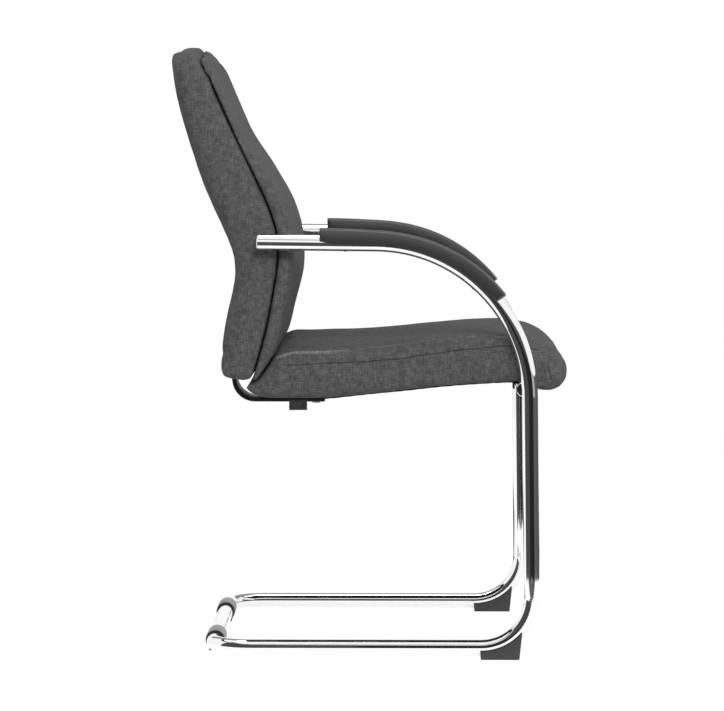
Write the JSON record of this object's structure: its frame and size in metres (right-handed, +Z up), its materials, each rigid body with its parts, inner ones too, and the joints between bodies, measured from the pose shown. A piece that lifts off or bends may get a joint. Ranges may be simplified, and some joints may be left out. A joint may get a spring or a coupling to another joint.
{
  "type": "cantilever visitor chair with armrests",
  "caption": "Visitor chair on one bent chromed tube that forms skids, legs and arms, with upholstered seat and back, black arm pads and plastic floor glides.",
  "frame": {"origin": "middle of the chair's outer box, on the floor", "axes": "+Z up, +X towards the sitter's left, +Y towards the rear; the chair faces -Y"},
  "size_m": [0.583, 0.6184, 0.9543],
  "materials": {
    "chrome": "polished",
    "pad_plastic": "fine grained satin",
    "foot_plastic": "matte",
    "glide_plastic": "satin",
    "fabric": "woven",
    "lining": "matte",
    "tag_cloth": "matte",
    "plywood": "raw",
    "black_steel": "satin black",
    "zinc_steel": "zinc plated"
  },
  "bodies": {
    "root": {"frame_tube": "chrome", "arm_end_cap_right": "chrome", "arm_end_cap_left": "chrome", "arm_pad_right": "pad_plastic", "arm_pad_left": "pad_plastic", "arm_pad_screw_right_front": "zinc_steel", "arm_pad_screw_right_rear": "zinc_steel", "arm_pad_screw_left_front": "zinc_steel", "arm_pad_screw_left_rear": "zinc_steel", "front_foot_right": "foot_plastic", "front_foot_left": "foot_plastic", "rear_glide_right": "glide_plastic", "rear_glide_left": "glide_plastic", "seat_cushion": "fabric", "seat_board": "plywood", "seat_underside_cover": "lining", "seat_cross_tube": "chrome", "seat_bracket_right": "black_steel", "seat_bracket_left": "black_steel", "seat_bracket_screw_right_front": "zinc_steel", "seat_bracket_screw_right_rear": "zinc_steel", "seat_bracket_screw_left_front": "zinc_steel", "seat_bracket_screw_left_rear": "zinc_steel", "back_shell": "fabric", "back_cushion": "fabric", "back_board": "plywood", "seat_to_back_bar": "black_steel", "bar_screw_lower": "zinc_steel", "bar_screw_upper": "zinc_steel", "seat_bolt_front": "zinc_steel", "seat_bolt_rear": "zinc_steel", "t_nut_front": "zinc_steel", "t_nut_rear": "zinc_steel", "arm_tab_right": "black_steel", "arm_tab_left": "black_steel", "arm_tab_screw_right_outer": "zinc_steel", "arm_tab_screw_right_inner": "zinc_steel", "arm_tab_screw_left_outer": "zinc_steel", "arm_tab_screw_left_inner": "zinc_steel", "fabric_tag": "tag_cloth"}
  },
  "joints": []
}
